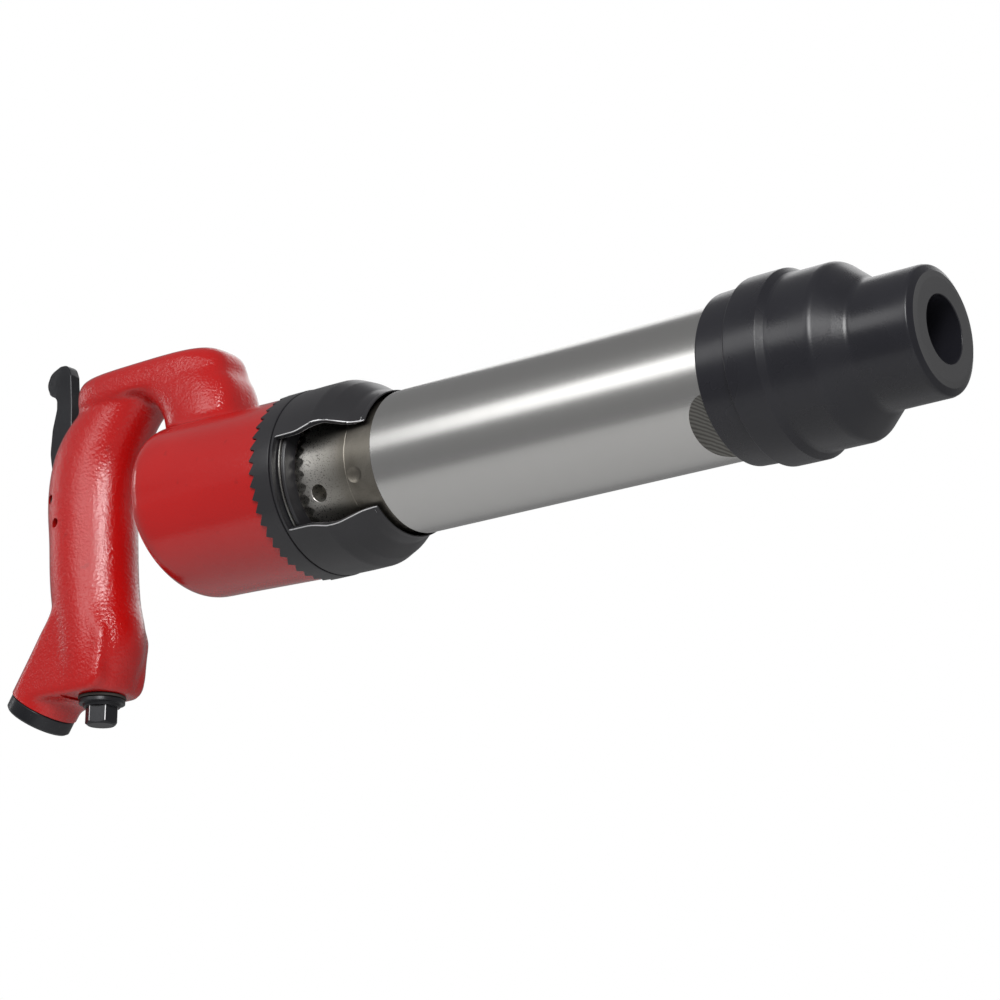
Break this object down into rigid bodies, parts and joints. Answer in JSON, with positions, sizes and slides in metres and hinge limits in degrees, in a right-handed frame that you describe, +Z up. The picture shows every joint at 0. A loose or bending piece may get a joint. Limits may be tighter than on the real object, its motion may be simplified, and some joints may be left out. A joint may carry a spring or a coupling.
{
  "type": "pneumatic rivet gun",
  "caption": "Heavy pneumatic rivet gun with a closed D handle, outside throttle lever, air exhaust deflector and rubber nose boot.",
  "frame": {"origin": "bottom centre of the part's box, level with the flat end of the throttle plug", "axes": "+X along the barrel out of the nose, +Z up with the grip hanging below the barrel axis, Y across"},
  "size_m": [0.4074, 0.068, 0.1495],
  "materials": {
    "red_enamel": "glossy red enamel over a cast surface",
    "black_oxide": "black oxide, semi-gloss",
    "black_satin": "satin black",
    "black_rubber": "moulded satin rubber",
    "satin_steel": "satin turned steel, blasted at the ports",
    "hard_steel": "hardened, ground",
    "bronze": "machined bronze",
    "fibre": "pressed fibre gasket"
  },
  "bodies": {
    "gun": {"lock_ring": "black_satin", "deflector_clip": "hard_steel", "barrel": "satin_steel", "shank_bushing": "hard_steel", "retainer_cap": "hard_steel", "nose_boot": "black_rubber", "valve_block": "hard_steel", "valve_plate": "hard_steel", "valve_dowel": "hard_steel", "inlet_bushing": "black_oxide", "inlet_screen": "bronze", "throttle_seat": "bronze", "push_pin_bushing": "bronze", "throttle_plug": "black_oxide", "plug_gasket": "fibre", "lever_pivot_pin": "hard_steel", "lever_stop_pin": "hard_steel", "handle": "red_enamel"},
    "lever": {"throttle_lever": "black_oxide"},
    "push_pin": {"push_pin": "hard_steel"},
    "throttle_valve": {"throttle_valve": "bronze", "throttle_valve_seal": "black_rubber", "throttle_spring": "hard_steel"},
    "shuttle": {"shuttle_valve": "hard_steel"},
    "piston": {"piston": "hard_steel"},
    "deflector": {"exhaust_deflector": "black_satin"}
  },
  "joints": [
    {"name": "lever_hinge", "type": "hinge", "parent": "gun", "child": "lever", "pos_m": [-0.17875, 0, 0.0898], "axis": [0, 1, 0], "range_deg": [0, 8], "stiffness_Nm_per_rad": 2, "springref_deg": -5.73},
    {"name": "push_pin_slide", "type": "slide", "parent": "gun", "child": "push_pin", "axis": [0, 0, -1], "range_m": [0, 0.0029]},
    {"name": "throttle_valve_slide", "type": "slide", "parent": "gun", "child": "throttle_valve", "axis": [0, 0, -1], "range_m": [0, 0.0029], "deforming": ["throttle_spring"]},
    {"name": "shuttle_slide", "type": "slide", "parent": "gun", "child": "shuttle", "axis": [1, 0, 0], "range_m": [0, 0.004]},
    {"name": "piston_slide", "type": "slide", "parent": "gun", "child": "piston", "axis": [1, 0, 0], "range_m": [0, 0.102]},
    {"name": "deflector_swivel", "type": "hinge", "parent": "gun", "child": "deflector", "pos_m": [-0.02626, 0, 0.0733], "axis": [1, 0, 0], "continuous": true}
  ],
  "couplings": [
    {"joint": "push_pin_slide", "follows": "lever_hinge", "m_per_rad": 0.0205},
    {"joint": "throttle_valve_slide", "follows": "lever_hinge", "m_per_rad": 0.0205}
  ]
}
